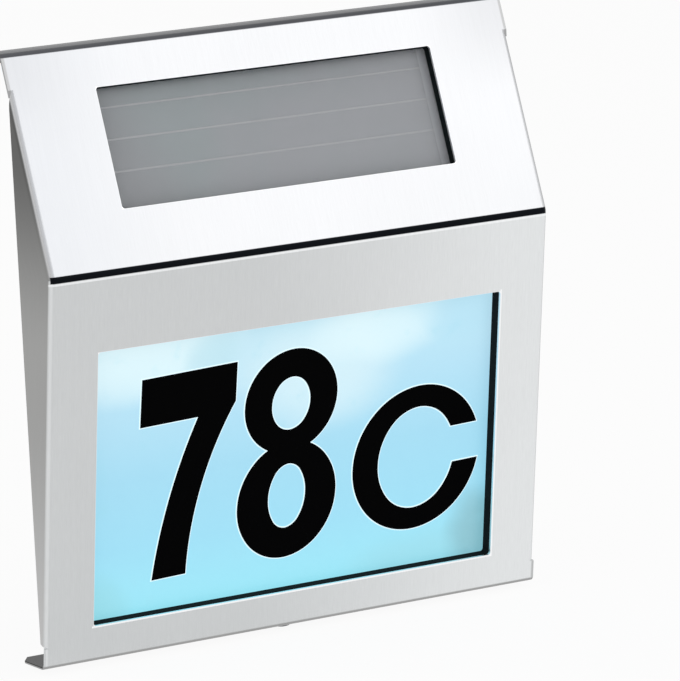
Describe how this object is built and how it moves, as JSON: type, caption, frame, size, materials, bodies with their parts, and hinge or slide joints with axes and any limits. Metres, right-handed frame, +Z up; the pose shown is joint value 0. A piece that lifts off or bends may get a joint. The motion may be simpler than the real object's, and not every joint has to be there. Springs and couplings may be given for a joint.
{
  "type": "illuminated house number sign",
  "caption": "Wall-hung steel house number sign with a lit number window in its leaning face, a solar panel in its hood, and a hooked wall plate.",
  "frame": {"origin": "middle of the two wall screw holes, on the wall", "axes": "+Z up, the face looks along -Y, the wall is the plane Y = 0"},
  "size_m": [0.185, 0.0358, 0.1978],
  "materials": {
    "cover_steel": "brushed, fine grain up the face",
    "plate_steel": "dull rolled sheet",
    "screw_steel": "zinc plated",
    "spring_steel": "nickel plated",
    "black_plastic": "fine moulded texture",
    "opal_acrylic": "opal, lit from behind by cool white lamps",
    "numeral_film": "satin cut film",
    "solar_glass": "clear",
    "solar_cell": "grey-blue cells",
    "circuit_board": "green solder mask",
    "chip_black": "moulded",
    "white_plastic": "plain white sheet",
    "lamp": "clear resin",
    "battery_sleeve": "plain shrink sleeve",
    "seal_rubber": "soft"
  },
  "bodies": {
    "wall_bracket": {"wall_plate": "plate_steel", "lock_nut": "screw_steel"},
    "sign": {"front_cover": "cover_steel", "window_frame": "black_plastic", "number_panel": "opal_acrylic", "number_seven": "numeral_film", "number_eight": "numeral_film", "letter_c": "numeral_film", "solar_frame": "black_plastic", "solar_glass": "solar_glass", "solar_cells": "solar_cell", "solar_board": "circuit_board", "rear_housing": "black_plastic", "weld_studs": "plate_steel", "housing_nuts": "screw_steel", "led_board": "circuit_board", "leds": "lamp", "reflector": "white_plastic", "battery": "battery_sleeve", "battery_contact": "spring_steel", "battery_spring": "spring_steel", "battery_cover": "black_plastic", "battery_seal": "seal_rubber", "battery_cover_screws": "screw_steel", "control_board": "circuit_board", "board_screws": "screw_steel", "board_parts": "chip_black", "switch_body": "chip_black"},
    "locking_screw": {"locking_screw": "screw_steel"},
    "switch_slider": {"switch_slider": "white_plastic"}
  },
  "joints": [
    {"name": "sign_swing", "type": "hinge", "parent": "wall_bracket", "child": "sign", "pos_m": [0, -0.0034, 0.0486], "axis": [-1, 0, 0], "range_deg": [0, 12]},
    {"name": "locking_screw_slide", "type": "slide", "parent": "wall_bracket", "child": "locking_screw", "axis": [0, 0, -1], "range_m": [0, 0.005]},
    {"name": "switch_slide", "type": "slide", "parent": "sign", "child": "switch_slider", "axis": [1, 0, 0], "range_m": [0, 0.004]}
  ]
}
